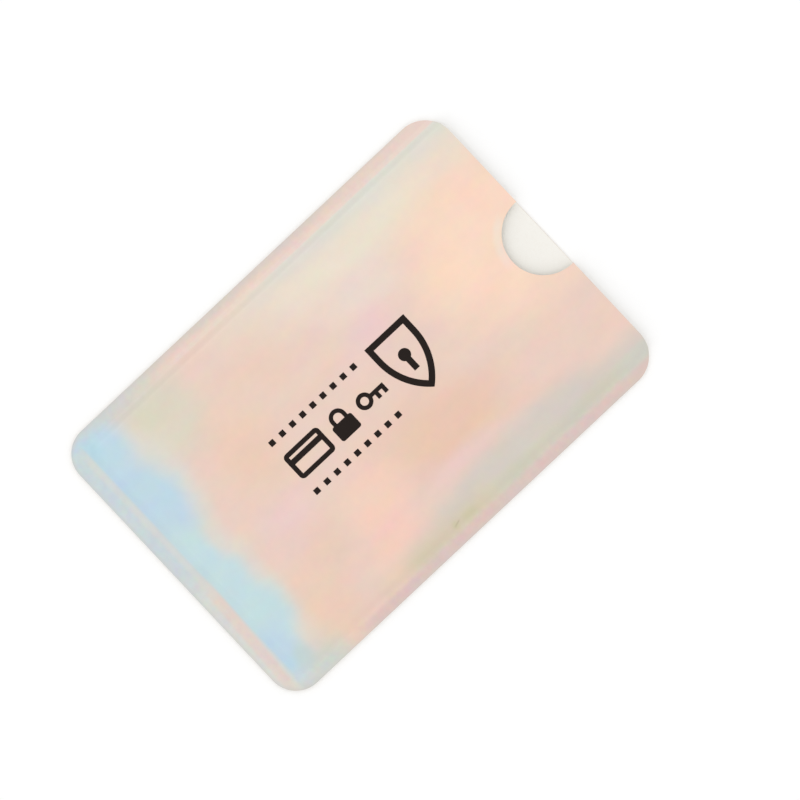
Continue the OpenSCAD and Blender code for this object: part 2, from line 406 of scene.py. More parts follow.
def across(u, size):
    """Place across the sleeve of a station u, from -1 to 1. They lie closer where the outline turns."""
    part = abs(u)
    notch_end = NOTCH_STATIONS / HALF_STATIONS
    notch_next = (NOTCH_STATIONS + 1) / HALF_STATIONS
    corner_start = (NOTCH_STATIONS + STRAIGHT_STATIONS) / HALF_STATIONS
    corner = size["Bottom Radius"].most(size["Mouth Radius"])
    straight = size["Width"] / 2.0 - corner - size["Notch Radius"] - NOTCH_SIDE
    over_notch = (part / notch_end).held()
    over_side = ((part - notch_end) / (notch_next - notch_end)).held()
    over_straight = ((part - notch_next) / (corner_start - notch_next)).held()
    over_corner = ((part - corner_start) / (1.0 - corner_start)).held()
    place = size["Notch Radius"] * (over_notch * (math.pi / 2)).sine()
    place = place + over_side * NOTCH_SIDE + over_straight * straight
    place = place + corner * (over_corner * (math.pi / 2)).sine()
    return u.math("SIGN") * place


def corner_drop(x, size, radius):
    """How far a round corner has left the straight end of the outline at x."""
    into = (abs(x) - (size["Width"] / 2.0 - radius)).most(0.0)
    return radius - (radius * radius - into * into).root()


def along(x, u, v, size):
    """Place along the sleeve of a row v, from 0 at the foot to 1 at the mouth, in the column at x."""
    half = size["Length"] / 2.0
    over_notch = abs(u).below((NOTCH_STATIONS + 0.5) / HALF_STATIONS) * size["Notched"]
    arc = (size["Notch Radius"] * size["Notch Radius"] - x * x).root()
    notch = over_notch * (size["Notch Depth"] - size["Notch Radius"] + arc)
    foot = corner_drop(x, size, size["Bottom Radius"]) - half
    mouth = half - corner_drop(x, size, size["Mouth Radius"]) - notch
    stretch = FOOT_STRETCH / size["Length"]
    over_foot = (v / FOOT_ROWS).held()
    past_foot = ((v - FOOT_ROWS) / (1.0 - FOOT_ROWS)).held()
    return foot + (mouth - foot) * (over_foot * stretch + past_foot * (1.0 - stretch))


def pocket_share(x, y, size):
    """Height of the front sheet at a place, from 0 on the seams to 1 on its panel."""
    half = size["Width"] / 2.0 - size["Side Seam"]
    foot_inset = y + size["Length"] / 2.0 - size["Bottom Seam"]
    side_inset = half - abs(x)
    radius = size["Pocket Radius"]
    past_side = (radius - side_inset).most(0.0)
    past_foot = (radius - foot_inset).most(0.0)
    inset = radius - (past_side * past_side + past_foot * past_foot).root()
    foot = 1.0 - size["Foot Drop"] * (1.0 - (foot_inset / size["Foot Ease"]).eased())
    right = 1.0 - size["Right Drop"] * (1.0 - ((half - x) / size["Right Ease"]).eased())
    return (inset / size["Slope"]).eased() * foot * right


def wave_depth(tree, x, y, size):
    """How far the soft waves lower the front sheet at a place. The print's area stays level."""
    wide = ((abs(x) - size["Print Half Width"]) / size["Wave Size"]).eased()
    long = ((abs(y) - size["Print Half Length"]) / size["Wave Size"]).eased()
    swell = noise(tree, joined(tree, x, y), size["Wave Size"], WAVE_DETAIL)
    return size["Wave"] * swell * (wide + long).least(1.0)


def dent_depth(x, y, size):
    """How far the small dent lowers the front sheet at a place."""
    away_x = (x - size["Dent X"]) / size["Dent Reach"]
    away_y = (y - size["Dent Y"]) / size["Dent Reach"]
    away = (away_x * away_x * DENT_SLIM ** 2 + away_y * away_y).root()
    return size["Dent Depth"] * (1.0 - away).eased()


def build_layer_tree():
    """Every layer's rule: a grid bent to the sleeve's outline and relief, then closed to a thin solid."""
    inputs = {"Row Points": COUNT, "Finish": MATERIAL}
    outputs = {"Geometry": GEOMETRY}
    tree, size, end = new_group("GeometryNodeTree", "Laminated layer", inputs, LAYER_SIZES, outputs)
    grid = put(
        tree,
        "GeometryNodeMeshGrid",
        Size_X=2.0,
        Size_Y=1.0,
        Vertices_X=2 * HALF_STATIONS + 1,
        Vertices_Y=size["Row Points"],
    )
    u, row = parts_of(tree, put(tree, "GeometryNodeInputPosition").outputs[0])
    x = across(u, size)
    y = along(x, u, row + 0.5, size)
    rise = size["Rise"] * pocket_share(x, y, size)
    sunk = wave_depth(tree, x, y, size) + dent_depth(x, y, size)
    sunk = sunk * (rise / size["Rise"].most(LEAST_RISE))
    z = size["Level"] + size["Low"] + rise - sunk
    place = joined(tree, x, y, z)
    lower = put(tree, "GeometryNodeSetPosition", Geometry=grid.outputs["Mesh"], Position=place)
    raised = put(
        tree,
        "GeometryNodeExtrudeMesh",
        {"mode": "FACES"},
        Mesh=lower.outputs[0],
        Offset=(0.0, 0.0, 1.0),
        Offset_Scale=size["High"] - size["Low"],
        Individual=False,
    )
    under = put(tree, "GeometryNodeFlipFaces", Mesh=lower.outputs[0])
    both = tree.nodes.new("GeometryNodeJoinGeometry")
    tree.links.new(raised.outputs["Mesh"], both.inputs[0])
    tree.links.new(under.outputs[0], both.inputs[0])
    closed = put(tree, "GeometryNodeMergeByDistance", Geometry=both.outputs[0], Distance=SAME_PLACE)
    smooth = put(
        tree,
        "GeometryNodeSetShadeSmooth",
        {"domain": "FACE"},
        Geometry=closed.outputs[0],
        Shade_Smooth=True,
    )
    angle = Field(tree, tree.nodes.new("GeometryNodeInputMeshEdgeAngle").outputs[0])
    sharp = put(tree, "FunctionNodeCompare", {"operation": "GREATER_THAN"}, A=angle, B=SHARP_ANGLE)
    edged = put(
        tree,
        "GeometryNodeSetShadeSmooth",
        {"domain": "EDGE"},
        Geometry=smooth.outputs[0],
        Selection=sharp.outputs[0],
        Shade_Smooth=False,
    )
    real = put(tree, "GeometryNodeRealizeInstances", Geometry=edged.outputs[0])
    finished = put(tree, "GeometryNodeSetMaterial", Geometry=real.outputs[0], Material=size["Finish"])
    tree.links.new(finished.outputs[0], end["Geometry"])
    return tree


def grown(name, tree, values):
    """A plain mesh object made by a geometry tree with its named inputs set."""
    piece = bpy.data.objects.new(name, bpy.data.meshes.new(name))
    bpy.context.scene.collection.objects.link(piece)
    modifier = piece.modifiers.new(tree.name, "NODES")
    modifier.node_group = tree
    for item in tree.interface.items_tree:
        if item.in_out == "INPUT":
            modifier[item.identifier] = values[item.name]
    scene = bpy.context.evaluated_depsgraph_get()
    mesh = bpy.data.meshes.new_from_object(piece.evaluated_get(scene))
    piece.modifiers.remove(modifier)
    piece.data = mesh
    mesh.name = name
    if not mesh.polygons:
        raise RuntimeError(f"{name} came out empty")
    return piece


def layer(name, nodes, finish, front, low, high):
    """One layer of a sheet, between two heights above the sheet's underside, in place of its nodes."""
    size = bpy.context.scene.sleeve_sizes
    tree = bpy.data.node_groups.get("Laminated layer") or build_layer_tree()
    values = {label: getattr(size, label.lower().replace(" ", "_"), 0.0) for label in LAYER_SIZES}
    values["Slope"] = size.width / 2 - size.side_seam - PANEL_HALF
    values["Notched"] = float(front)
    values["Low"] = low
    values["High"] = high
    values["Row Points"] = ROWS + 1
    values["Finish"] = finish
    if not front:
        values.update({"Level": 0.0, "Rise": 0.0, "Row Points": FLAT_ROWS + 1})
    piece = grown(name, tree, values)
    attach(piece, BODY)
    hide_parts(*nodes)
    return piece


# Finishes

# A glow is a round patch that fades over a soft share of its reach. A stripe is a straight band. An arc
# is part of a ring, about its middle direction. Their blurs are centred on their sides and ends.
Glow = namedtuple("Glow", "colour x y reach_x reach_y turn soft strength")
Stripe = namedtuple("Stripe", "colour x y half_x half_y turn blur_x blur_y strength")
Arc = namedtuple("Arc", "colour x y radius half_width blur middle half_angle blur_angle strength")

# What the front film shows, in millimetres and degrees, from the ground tone up, with painted shade, glint
# and highlight among it
FRONT_LOOK = (
    Glow("cream", -24, 22, 10, 38, 1, 0.7, 1),
    Glow("shell", -15, 15, 7, 15, 0, 0.8, 0.9),
    Glow("peach", -6, 39, 20, 24, 0, 0.6, 1),
    Glow("rose", -9, 11, 6, 11, 10, 0.9, 0.8),
    Glow("apricot", 13.5, 9, 11.5, 20, -10, 0.75, 1),
    Glow("rose", 19.5, 8, 3.4, 13, 0, 0.9, 0.7),
    Glow("coral", 17, -10, 14, 9, -20, 0.8, 1),
    Glow("apricot", 14, -22, 10, 8, 0, 0.9, 0.5),
    Glow("rose", 5, -24, 9, 10, 0, 0.9, 0.7),
    Glow("amber", -7, -20.5, 15, 10, -10, 0.9, 1),
    Glow("apricot", -18, -9, 8, 7, -30, 1, 0.3),
    Glow("amber", 23, -29, 13, 9, 0, 0.8, 0.9),
    # The film's grey and green hues with painted shade, darker on the right of the panel and its slope
    Glow("ash", 33, 16, 14.5, 38, 1, 0.35, 1),
    Glow("ash", 29, 44, 8, 12, 0, 0.8, 0.9),
    Stripe("sage", 27.6, 27, 1.4, 27, 0, 1.6, 14, 1),
    Stripe("moss", 27.6, -6, 2, 13, 0, 4, 8, 1),
    Stripe("mint", -27.6, 28, 2.2, 30, 0, 4.6, 34, 1),
    Glow("cream", -23, 44, 5, 6, 0, 0.9, 0.7),
    Glow("mint", -27.6, 44, 2.2, 4, 0, 0.8, 0.8),
    Glow("pearl", 27.6, 45, 2.6, 10, 0, 0.8, 0.5),
    Glow("coral", 26.5, -16, 6.5, 5.5, 0, 1, 0.55),
    Glow("lime", -24, -27, 13, 10, 0, 0.7, 1),
    Stripe("pink", 30.4, 10, 1.3, 37, 0, 1.4, 9, 1),
    Stripe("blossom", -30, 16, 1.6, 34, 0, 0.5, 16, 1),
    Stripe("ash", -30.8, -4, 0.9, 26, 0, 1.2, 20, 0.6),
    Stripe("shell", -28.8, 14, 0.4, 34, 0, 0.5, 12, 0.6),
    Glow("lime", 29, -34.5, 8, 5.5, 0, 0.9, 0.9),
    Glow("pearl", -32, -36, 8, 17, 0, 0.9, 1),
    Glow("pearl", 31, -40, 8, 12, 0, 0.7, 1),
    Glow("veil", -14, -41, 20, 13, 0, 0.4, 1),
    Glow("veil", 14.5, -41, 17.5, 11.2, 0, 0.45, 1),
    Glow("veil", 4, -41, 12, 11, 0, 0.6, 1),
    Glow("sky", -12.5, -41, 14, 9.4, 0, 0.5, 1),
    Glow("aqua", 15.5, -41, 11, 9.4, 0, 0.5, 1),
    Glow("aqua", 6, -41, 7, 7.8, 0, 0.5, 1),
    Glow("sky", -26, -41, 9.5, 9, 0, 0.6, 1),
    Glow("aqua", 1, -42, 12, 6.5, 0, 0.5, 1),
    Glow("sky", 23, -41, 8, 5.5, 0, 0.7, 1),
    Glow("jade", 26, -38.2, 4, 3, 0, 0.8, 0.7),
    Glow("cyan", -27, -40.5, 4, 2.6, 0, 0.9, 0.9),
    Stripe("pearl", -31.2, -38, 1.7, 9, 0, 2.4, 5, 0.6),
    Stripe("mist", 0, -44.4, 29, 2.5, 0, 3, 0.7, 1),
    Stripe("veil", -11, -42.6, 15.5, 0.6, 0, 3, 0.8, 0.45),
    Stripe("veil", 18, -43.9, 14, 1.7, -1, 12, 0.9, 0.8),
    Stripe("salmon", 17.5, -43.3, 11.5, 0.95, -3, 8, 0.9, 0.9),
    # A painted yellow glint about the small dent, then a painted shadow in it
    Glow("straw", 27.5, 0.8, 1.4, 2.8, 0, 0.9, 0.9),
    Glow("straw", 27.6, -2.4, 1.1, 1.4, 0, 0.8, 0.9),
    Stripe("crease", 27.45, -1.9, 0.12, 0.7, 18, 0.3, 0.6, 0.85),
    # Painted highlight along the lower edge of the thumb notch
    Arc("lip", 0, 45.1, 8.3, 0.7, 1.1, 238, 30, 26, 0.9),
)

# What the rear film shows
REAR_LOOK = (
    Glow("cream", 17, 20, 16, 36, 16, 1, 1),
    Glow("peach", -10, 27, 22, 24, 20, 0.9, 1),
    Glow("shell", 4, 34, 9, 16, 25, 1, 0.8),
    Glow("rose", 7, 3, 20, 10, 32, 0.9, 0.9),
    Glow("apricot", -16, -8, 13, 19, -15, 0.9, 0.9),
    Glow("coral", -4, -16, 14, 9, 24, 0.9, 0.8),
    Glow("lime", 21, -12, 11, 17, 8, 0.9, 0.9),
    Glow("ash", -31, 14, 12, 42, 0, 0.6, 0.9),
    Stripe("sage", -27.6, 20, 1.6, 30, 0, 2, 16, 0.8),
    Stripe("mint", 27.4, 12, 2, 38, 0, 4, 16, 1),
    Glow("veil", 22, -38, 19, 14, 12, 0.4, 1),
    Glow("veil", -6, -42, 22, 12, -8, 0.4, 1),
    Glow("aqua", 22, -39, 15, 12, 12, 0.5, 1),
    Glow("sky", 4, -42, 15, 9, 0, 0.5, 1),
    Glow("aqua", -11, -43, 13, 9.5, -10, 0.5, 1),
    Glow("sky", -25, -40, 10, 7, -16, 0.6, 0.9),
    Stripe("blossom", 30.2, 8, 1.6, 40, 0, 0.8, 16, 0.9),
    Stripe("pink", -30.2, 0, 1.6, 40, 0, 1, 8, 0.9),
    Stripe("mist", 0, -44.2, 30, 2.2, 0, 3, 0.6, 0.9),
    Stripe("salmon", -12, -43.4, 11, 1, 2, 8, 0.9, 0.8),
)

# Unevenness of the glows' edges: its size and its full swing, in millimetres, and its detail
EDGE_SIZE = 7.0
EDGE_SHIFT = 2.4
EDGE_DETAIL = 2.0
# Detail of the film's small shifts of hue
DRIFT_DETAIL = 1.5
# Detail of pressed foil's grain, ripple and smear, and the smear's size as a share of the ripple's
GRAIN_DETAIL = 3.0
RIPPLE_DETAIL = 1.0
SMEAR_DETAIL = 4.0
SMEAR_SIZE = 0.6
# Directions in which paper fibres lie, and how far apart in the noise each direction is taken
FIBRE_TURNS = (0.3, 1.2, 2.1, 2.8)
FIBRE_STEP = 10
FIBRE_DETAIL = 3.0
# Height above which a fibre is darker, and how fast it darkens from there
FIBRE_LEVEL = 0.55
FIBRE_CONTRAST = 5.0


def new_finish(name, numbers, outputs):
    """A shader group that works from the place and some numbers."""
    return new_group("ShaderNodeTree", name, {"Place": VECTOR}, numbers, outputs)


def new_patch(name, numbers):
    """A shader group that lays a colour over what is under it, about a centre and with a strength."""
    inputs = {"Place": VECTOR, "Under": COLOUR, "Colour": COLOUR}
    numbers = ("Centre X", "Centre Y", *numbers, "Strength")
    return new_group("ShaderNodeTree", name, inputs, numbers, {"Colour": COLOUR})


def end_patch(tree, given, end, part):
    """Ends such a group with its colour laid on by a part of its strength."""
    part = part * given["Strength"]
    feed(tree, end["Colour"], mixed(tree, part, given["Under"], given["Colour"]))


def from_centre(tree, given, turn):
    """The place seen from a patch's centre and turned, as two fields."""
    x, y = parts_of(tree, given["Place"])
    x = x - given["Centre X"]
    y = y - given["Centre Y"]
    cosine = given[turn].math("COSINE")
    sine = given[turn].math("SINE")
    return x * cosine + y * sine, y * cosine - x * sine


def within(off, half, blur):
    """1 inside a band of a half width, easing to 0 over a blur that is centred on its side."""
    return ((half - off) / blur + 0.5).eased()


def build_glow():
    """A round soft patch of colour over what is under it."""
    tree, given, end = new_patch("Soft glow", ("Reach X", "Reach Y", "Turn", "Softness"))
    x, y = from_centre(tree, given, "Turn")
    x = x / given["Reach X"]
    y = y / given["Reach Y"]
    away = (x * x + y * y).root()
    end_patch(tree, given, end, ((1.0 - away) / given["Softness"]).eased())
    return tree


def build_stripe():
    """A straight band of colour with soft sides and ends over what is under it."""
    tree, given, end = new_patch("Soft stripe", ("Half X", "Half Y", "Turn", "Blur X", "Blur Y"))
    x, y = from_centre(tree, given, "Turn")
    inside_x = within(abs(x), given["Half X"], given["Blur X"])
    inside_y = within(abs(y), given["Half Y"], given["Blur Y"])
    end_patch(tree, given, end, inside_x * inside_y)
    return tree


def build_arc():
    """A band of colour along part of a circle, over what is under it."""
    numbers = ("Radius", "Half Width", "Blur", "Middle", "Half Angle", "Blur Angle")
    tree, given, end = new_patch("Soft arc", numbers)
    x, y = from_centre(tree, given, "Middle")
    off = abs((x * x + y * y).root() - given["Radius"])
    swing = abs(compute(tree, "ARCTAN2", y, x))
    on_band = within(off, given["Half Width"], given["Blur"])
    in_reach = within(swing, given["Half Angle"], given["Blur Angle"])
    end_patch(tree, given, end, on_band * in_reach)
    return tree


def build_drift():
    """Small shifts of hue and brightness, as pressed holographic film has."""
    inputs = {"Place": VECTOR, "Under": COLOUR}
    numbers = ("Patch Size", "Amount")
    tree, given, end = new_group("ShaderNodeTree", "Rainbow drift", inputs, numbers, {"Colour": COLOUR})
    hue = wander(tree, given["Place"], given["Patch Size"], DRIFT_DETAIL, given["Amount"])
    shift = put(tree, "ShaderNodeVectorMath", {"operation": "MULTIPLY_ADD"})
    tree.links.new(hue, shift.inputs[0])
    tree.links.new(given["Under"], shift.inputs[1])
    tree.links.new(given["Under"], shift.inputs[2])
    tree.links.new(shift.outputs[0], end["Colour"])
    return tree


def build_outline():
    """Distance from a sheet's cut edge, in millimetres inwards, up to its corners' radius."""
    numbers = ("Width", "Length", "Bottom Radius", "Mouth Radius")
    tree, given, end = new_finish("Sheet outline", numbers, {"Inset": FLOAT})
    x, y = parts_of(tree, given["Place"])
    at_foot = y.below(0.0)
    radius = given["Bottom Radius"] * at_foot + given["Mouth Radius"] * (1.0 - at_foot)
    past_side = (radius - (given["Width"] / 2.0 - abs(x))).most(0.0)
    past_end = (radius - (given["Length"] / 2.0 - abs(y))).most(0.0)
    feed(tree, end["Inset"], radius - (past_side * past_side + past_end * past_end).root())
    return tree


def build_satin():
    """The uneven satin of pressed foil: a height for bump and a roughness."""
    numbers = ("Grain Size", "Ripple Size", "Ripple", "Rough Low", "Rough High")
    outputs = {"Height": FLOAT, "Roughness": FLOAT}
    tree, given, end = new_finish("Pressed satin", numbers, outputs)
    place = given["Place"]
    grain = noise(tree, place, given["Grain Size"], GRAIN_DETAIL)
    ripple = noise(tree, place, given["Ripple Size"], RIPPLE_DETAIL)
    smear = noise(tree, place, given["Ripple Size"] * SMEAR_SIZE, SMEAR_DETAIL)
    feed(tree, end["Height"], grain * (1.0 - given["Ripple"]) + ripple * given["Ripple"])
    spread = given["Rough High"] - given["Rough Low"]
    feed(tree, end["Roughness"], given["Rough Low"] + spread * smear)
    return tree


def build_fibre():
    """Matted paper fibres: a height for bump and a share of darker fibre."""
    outputs = {"Height": FLOAT, "Fibre": FLOAT}
    tree, given, end = new_finish("Paper fibre", ("Fibre Size", "Stretch"), outputs)
    x, y = parts_of(tree, given["Place"])
    height = None
    for turn in FIBRE_TURNS:
        across_it = x * math.sin(turn) - y * math.cos(turn)
        along_it = (x * math.cos(turn) + y * math.sin(turn)) / given["Stretch"]
        place = joined(tree, along_it, across_it, turn * FIBRE_STEP)
        strand = noise(tree, place, given["Fibre Size"], FIBRE_DETAIL)
        height = strand if height is None else height.most(strand)
    feed(tree, end["Height"], height)
    feed(tree, end["Fibre"], ((height - FIBRE_LEVEL) * FIBRE_CONTRAST).held())
    return tree


GROUP_BUILDERS = {
    "Soft glow": build_glow,
    "Soft stripe": build_stripe,
    "Soft arc": build_arc,
    "Rainbow drift": build_drift,
    "Sheet outline": build_outline,
    "Pressed satin": build_satin,
    "Paper fibre": build_fibre,
}


def group(name):
    """A shared shader group, built the first time it is asked for."""
    return bpy.data.node_groups.get(name) or GROUP_BUILDERS[name]()


def colour(name):
    """One of the sleeve's colours."""
    return tuple(getattr(bpy.context.scene.sleeve_colours, name))


def new_material(name):
    """An empty material. Gives it, its tree, its shader and the place in millimetres."""
    material = bpy.data.materials.new(name)
    material.use_nodes = True
    tree = material.node_tree
    shader = tree.nodes["Principled BSDF"]
    source = tree.nodes.new("ShaderNodeTexCoord")
    return material, tree, shader, scaled(tree, source.outputs["Object"], 1 / MM)


def put_satin(tree, shader, place, **look):
    """Makes a shader's roughness that of pressed foil, and gives the foil's height."""
    satin = put_group(tree, group("Pressed satin"), Place=place, **look)
    feed(tree, shader.inputs["Roughness"], satin.outputs["Roughness"])
    return satin.outputs["Height"]


def put_bump(tree, shader, height, strength, depth):
    """Bumps the surface by a height from 0 to 1, up to a depth in millimetres."""
    bump = put(tree, "ShaderNodeBump", Strength=strength, Distance=depth * MM, Height=height)
    feed(tree, shader.inputs["Normal"], bump.outputs[0])


def edge_inset(tree, place):
    """Distance from the sleeve's cut edge, as a field in millimetres."""
    size = bpy.context.scene.sleeve_sizes
    node = put_group(
        tree,
        group("Sheet outline"),
        Place=place,
        Width=size.width / MM,
        Length=size.length / MM,
        Bottom_Radius=size.bottom_radius / MM,
        Mouth_Radius=size.mouth_radius / MM,
    )
    return Field(tree, node.outputs["Inset"])


def shifted(tree, place):
    """A place moved about a little, so that edges drawn from it run unevenly."""
    moved = put(tree, "ShaderNodeVectorMath", {"operation": "ADD"}, Vector=place)
    tree.links.new(wander(tree, place, EDGE_SIZE, EDGE_DETAIL, EDGE_SHIFT), moved.inputs[1])
    return moved.outputs[0]


LOOK_GROUPS = {Glow: "Soft glow", Stripe: "Soft stripe", Arc: "Soft arc"}
LOOK_INPUTS = {
    "x": "Centre_X",
    "y": "Centre_Y",
    "turn": "Turn",
    "soft": "Softness",
    "middle": "Middle",
    "half_angle": "Half_Angle",
    "blur_angle": "Blur_Angle",
}
LOOK_ANGLES = ("turn", "middle", "half_angle", "blur_angle")


def laid_look(tree, place, uneven, look):
    """The film's colour: its ground tone with each glow, stripe and arc of a look laid over the last."""
    under = put(tree, "ShaderNodeRGB").outputs[0]
    under.default_value = (*colour("blush"), 1.0)
    for item in look:
        values = item._asdict()
        inputs = {"Colour": colour(values.pop("colour"))}
        for field, value in values.items():
            label = LOOK_INPUTS.get(field, field.title())
            inputs[label] = math.radians(value) if field in LOOK_ANGLES else value
        where = uneven if isinstance(item, Glow) else place
        node = put_group(tree, group(LOOK_GROUPS[type(item)]), Place=where, Under=under, **inputs)
        under = node.outputs["Colour"]
    return under


def drifted(tree, place, under, size, amount):
    """A colour with the film's small shifts of hue over it."""
    inputs = {"Under": under, "Patch_Size": size, "Amount": amount}
    return put_group(tree, group("Rainbow drift"), Place=place, **inputs).outputs["Colour"]


# Where the seams' finish starts to fade towards the mouth, and over what length, in millimetres
MOUTH_START = 36.0
MOUTH_FADE = 6.0
# Width of the pressed band along the cut edge and of its fade, and what it adds to the fine drift
PRESSED_BAND = 2.2
PRESSED_FADE = 1.2
PRESSED_DRIFT = 0.1
# Wide and fine shifts of hue, and how much the wide ones are drawn out along the sleeve
WIDE_DRIFT_SIZE = 4.0
WIDE_DRIFT = 0.13
FINE_DRIFT_SIZE = 1.3
FINE_DRIFT = 0.06
DRAWN_OUT = 2.0
# Width of the film's cut edge and of the painted shade that fades in from it, and how much of its colour
# shows
EDGE_SHADE_WIDTH = 0.05
EDGE_SHADE_FADE = 0.8
EDGE_SHADE_SHARE = 0.35


def film_material(name, look):
    """Holographic film pressed on foil: soft colour patches, some painted shade and light among them, small
    rainbow shifts, painted edge shade and a satin gloss.
    """
    material, tree, shader, place = new_material(name)
    inset = edge_inset(tree, place)
    x, y = parts_of(tree, place)
    below_mouth = y.fading(MOUTH_START, MOUTH_FADE)
    pressed = inset.fading(PRESSED_BAND, PRESSED_FADE) * below_mouth
    # Band along the sides and foot where the cut edge greys the film with painted shade
    cut = inset.fading(EDGE_SHADE_WIDTH, EDGE_SHADE_FADE) * below_mouth
    tone = laid_look(tree, place, shifted(tree, place), look)
    tone = drifted(tree, joined(tree, x, y / DRAWN_OUT), tone, WIDE_DRIFT_SIZE, WIDE_DRIFT)
    tone = drifted(tree, place, tone, FINE_DRIFT_SIZE, FINE_DRIFT + pressed * PRESSED_DRIFT)
    tone = mixed(tree, cut * EDGE_SHADE_SHARE, tone, colour("rim"))
    tone = scaled(tree, tone, bpy.context.scene.sleeve_colours.film_share)
    feed(tree, shader.inputs["Base Color"], tone)
    grain = {"Grain_Size": 0.5, "Ripple_Size": 9.0, "Ripple": 0.85}
    height = put_satin(tree, shader, place, Rough_Low=0.24, Rough_High=0.42, **grain)
    put_bump(tree, shader, height, strength=0.35, depth=0.05)
    shader.inputs["Metallic"].default_value = 0.45
    shader.inputs["Specular IOR Level"].default_value = 0.3
    shader.inputs["Coat Weight"].default_value = 0.15
    shader.inputs["Coat Roughness"].default_value = 0.18
    return material


# How much browner the board is in patches, along its fibres and at its cut edge
PATCH_SHARE = 0.12
FIBRE_SHARE = 0.12
CUT_SHARE = 0.8
# Width of the board's cut edge and of its fade, in millimetres
CUT_WIDTH = 0.02
CUT_FADE = 0.08


def board_material():
    """Uncoated white board with fibres, browner where it is cut."""
    material, tree, shader, place = new_material("white_board")
    fibre = put_group(tree, group("Paper fibre"), Place=place, Fibre_Size=0.16, Stretch=8.0)
    patch = noise(tree, place, size=4.0, detail=3.0)
    cut = edge_inset(tree, place).fading(CUT_WIDTH, CUT_FADE)
    tone = mixed(tree, patch * PATCH_SHARE, colour("paper"), colour("pulp"))
    tone = mixed(tree, Field(tree, fibre.outputs["Fibre"]) * FIBRE_SHARE, tone, colour("pulp"))
    tone = mixed(tree, cut * CUT_SHARE, tone, colour("pulp"))
    feed(tree, shader.inputs["Base Color"], tone)
    put_bump(tree, shader, fibre.outputs["Height"], strength=0.5, depth=0.02)
    shader.inputs["Roughness"].default_value = 0.88
    return material


# How much the foil's rolled lines are drawn out along the sleeve, and how much they show
ROLLED_OUT = 40.0
ROLLED_SHARE = 0.3


def foil_material():
    """Rolled aluminium foil, with lines along the sleeve."""
    material, tree, shader, place = new_material("shielding_foil")
    x, y = parts_of(tree, place)
    rolled = noise(tree, joined(tree, x, y / ROLLED_OUT), size=0.08, detail=3.0)
    tone = mixed(tree, rolled * ROLLED_SHARE, colour("metal"), colour("pearl"))
    feed(tree, shader.inputs["Base Color"], tone)
    grain = {"Grain_Size": 0.3, "Ripple_Size": 6.0, "Ripple": 0.5}
    put_satin(tree, shader, place, Rough_Low=0.25, Rough_High=0.4, **grain)
    put_bump(tree, shader, rolled, strength=0.3, depth=0.01)
    shader.inputs["Metallic"].default_value = 1.0
    return material


# Least roughness of the bond and of the ink, and what their noise adds to it
BOND_ROUGH = 0.35
BOND_UNEVEN = 0.25
INK_ROUGH = 0.42
INK_UNEVEN = 0.2
# How much the ink's fine mottle and its wider pools thin it
MOTTLE_SHARE = 0.5
POOL_SHARE = 0.3
# How much the floor's clouds show
FLOOR_CLOUD = 0.1


def bond_material():
    """Set glue, a little cloudy."""
    material, tree, shader, place = new_material("seam_bond")
    cloud = noise(tree, place, size=1.4, detail=4.0)
    feed(tree, shader.inputs["Base Color"], mixed(tree, cloud, colour("glue"), colour("paper")))
    feed(tree, shader.inputs["Roughness"], BOND_ROUGH + cloud * BOND_UNEVEN)
    put_bump(tree, shader, cloud, strength=0.4, depth=0.02)
    return material


def ink_material():
    """Screen-printed black, slightly brown, with the fine mottle of a thick ink."""
    material, tree, shader, place = new_material("printed_ink")
    mottle = noise(tree, place, size=0.25, detail=4.0, rough=0.7)
    pool = noise(tree, place, size=1.8, detail=2.0)
    thin = (mottle * MOTTLE_SHARE + pool * POOL_SHARE).held()
    feed(tree, shader.inputs["Base Color"], mixed(tree, thin, colour("ink"), colour("thin_ink")))
    feed(tree, shader.inputs["Roughness"], INK_ROUGH + mottle * INK_UNEVEN)
    put_bump(tree, shader, mottle, strength=0.3, depth=0.01)
    shader.inputs["Specular IOR Level"].default_value = 0.12
    return material


def floor_material():
    """Smooth pale paper."""
    material, tree, shader, place = new_material("pale_floor")
    cloud = noise(tree, place, size=60.0, detail=2.0)
    tone = mixed(tree, cloud * FLOOR_CLOUD, colour("floor"), colour("paper"))
    feed(tree, shader.inputs["Base Color"], tone)
    shader.inputs["Roughness"].default_value = 0.9
    return material


def finish_node(name, material):
    """Gives a CAD node that stays a finish of its own."""
    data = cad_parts[name].data
    data.materials.clear()
    data.materials.append(material)


# Stage

# Half side of the floor, and the soft light's size and place, all in metres
FLOOR_HALF = 1.5
KEY_SIZE = 2.4
KEY_PLACE = Vector((-1.2, 0.3, 1.9))
# Share of the surroundings' brightness that is left at the horizon
HORIZON = 0.97


def make_floor():
    """A square floor at the height on which the sleeve lies."""
    signs = ((-1, -1), (1, -1), (1, 1), (-1, 1))
    corners = [(x * FLOOR_HALF, y * FLOOR_HALF, 0.0) for x, y in signs]
    mesh = bpy.data.meshes.new("floor")
    mesh.from_pydata(corners, [], [(0, 1, 2, 3)])
    mesh.materials.append(floor_material())
    floor = bpy.data.objects.new("floor", mesh)
    bpy.context.scene.collection.objects.link(floor)


def make_light(stage):
    """Surroundings a little darker low down, and one large soft light from the sleeve's left."""
    world = bpy.data.worlds.new("surroundings")
    world.use_nodes = True
    tree = world.node_tree
    source = tree.nodes.new("ShaderNodeTexCoord")
    toward = put(tree, "ShaderNodeSeparateXYZ", Vector=source.outputs["Generated"])
    height = Field(tree, toward.outputs["Z"])
    bright = HORIZON + (1.0 - HORIZON) * height.eased()
    feed(tree, tree.nodes["Background"].inputs["Strength"], bright * stage.sky)
    tree.nodes["Background"].inputs["Color"].default_value = (1.0, 1.0, 1.0, 1.0)
    bpy.context.scene.world = world
    lamp = bpy.data.lights.new("soft_light", "AREA")
    lamp.size = KEY_SIZE
    lamp.energy = stage.key
    key = bpy.data.objects.new("soft_light", lamp)
    facing = KEY_PLACE.to_track_quat("Z", "Y").to_matrix().to_4x4()
    key.matrix_world = Matrix.Translation(KEY_PLACE) @ facing
    bpy.context.scene.collection.objects.link(key)


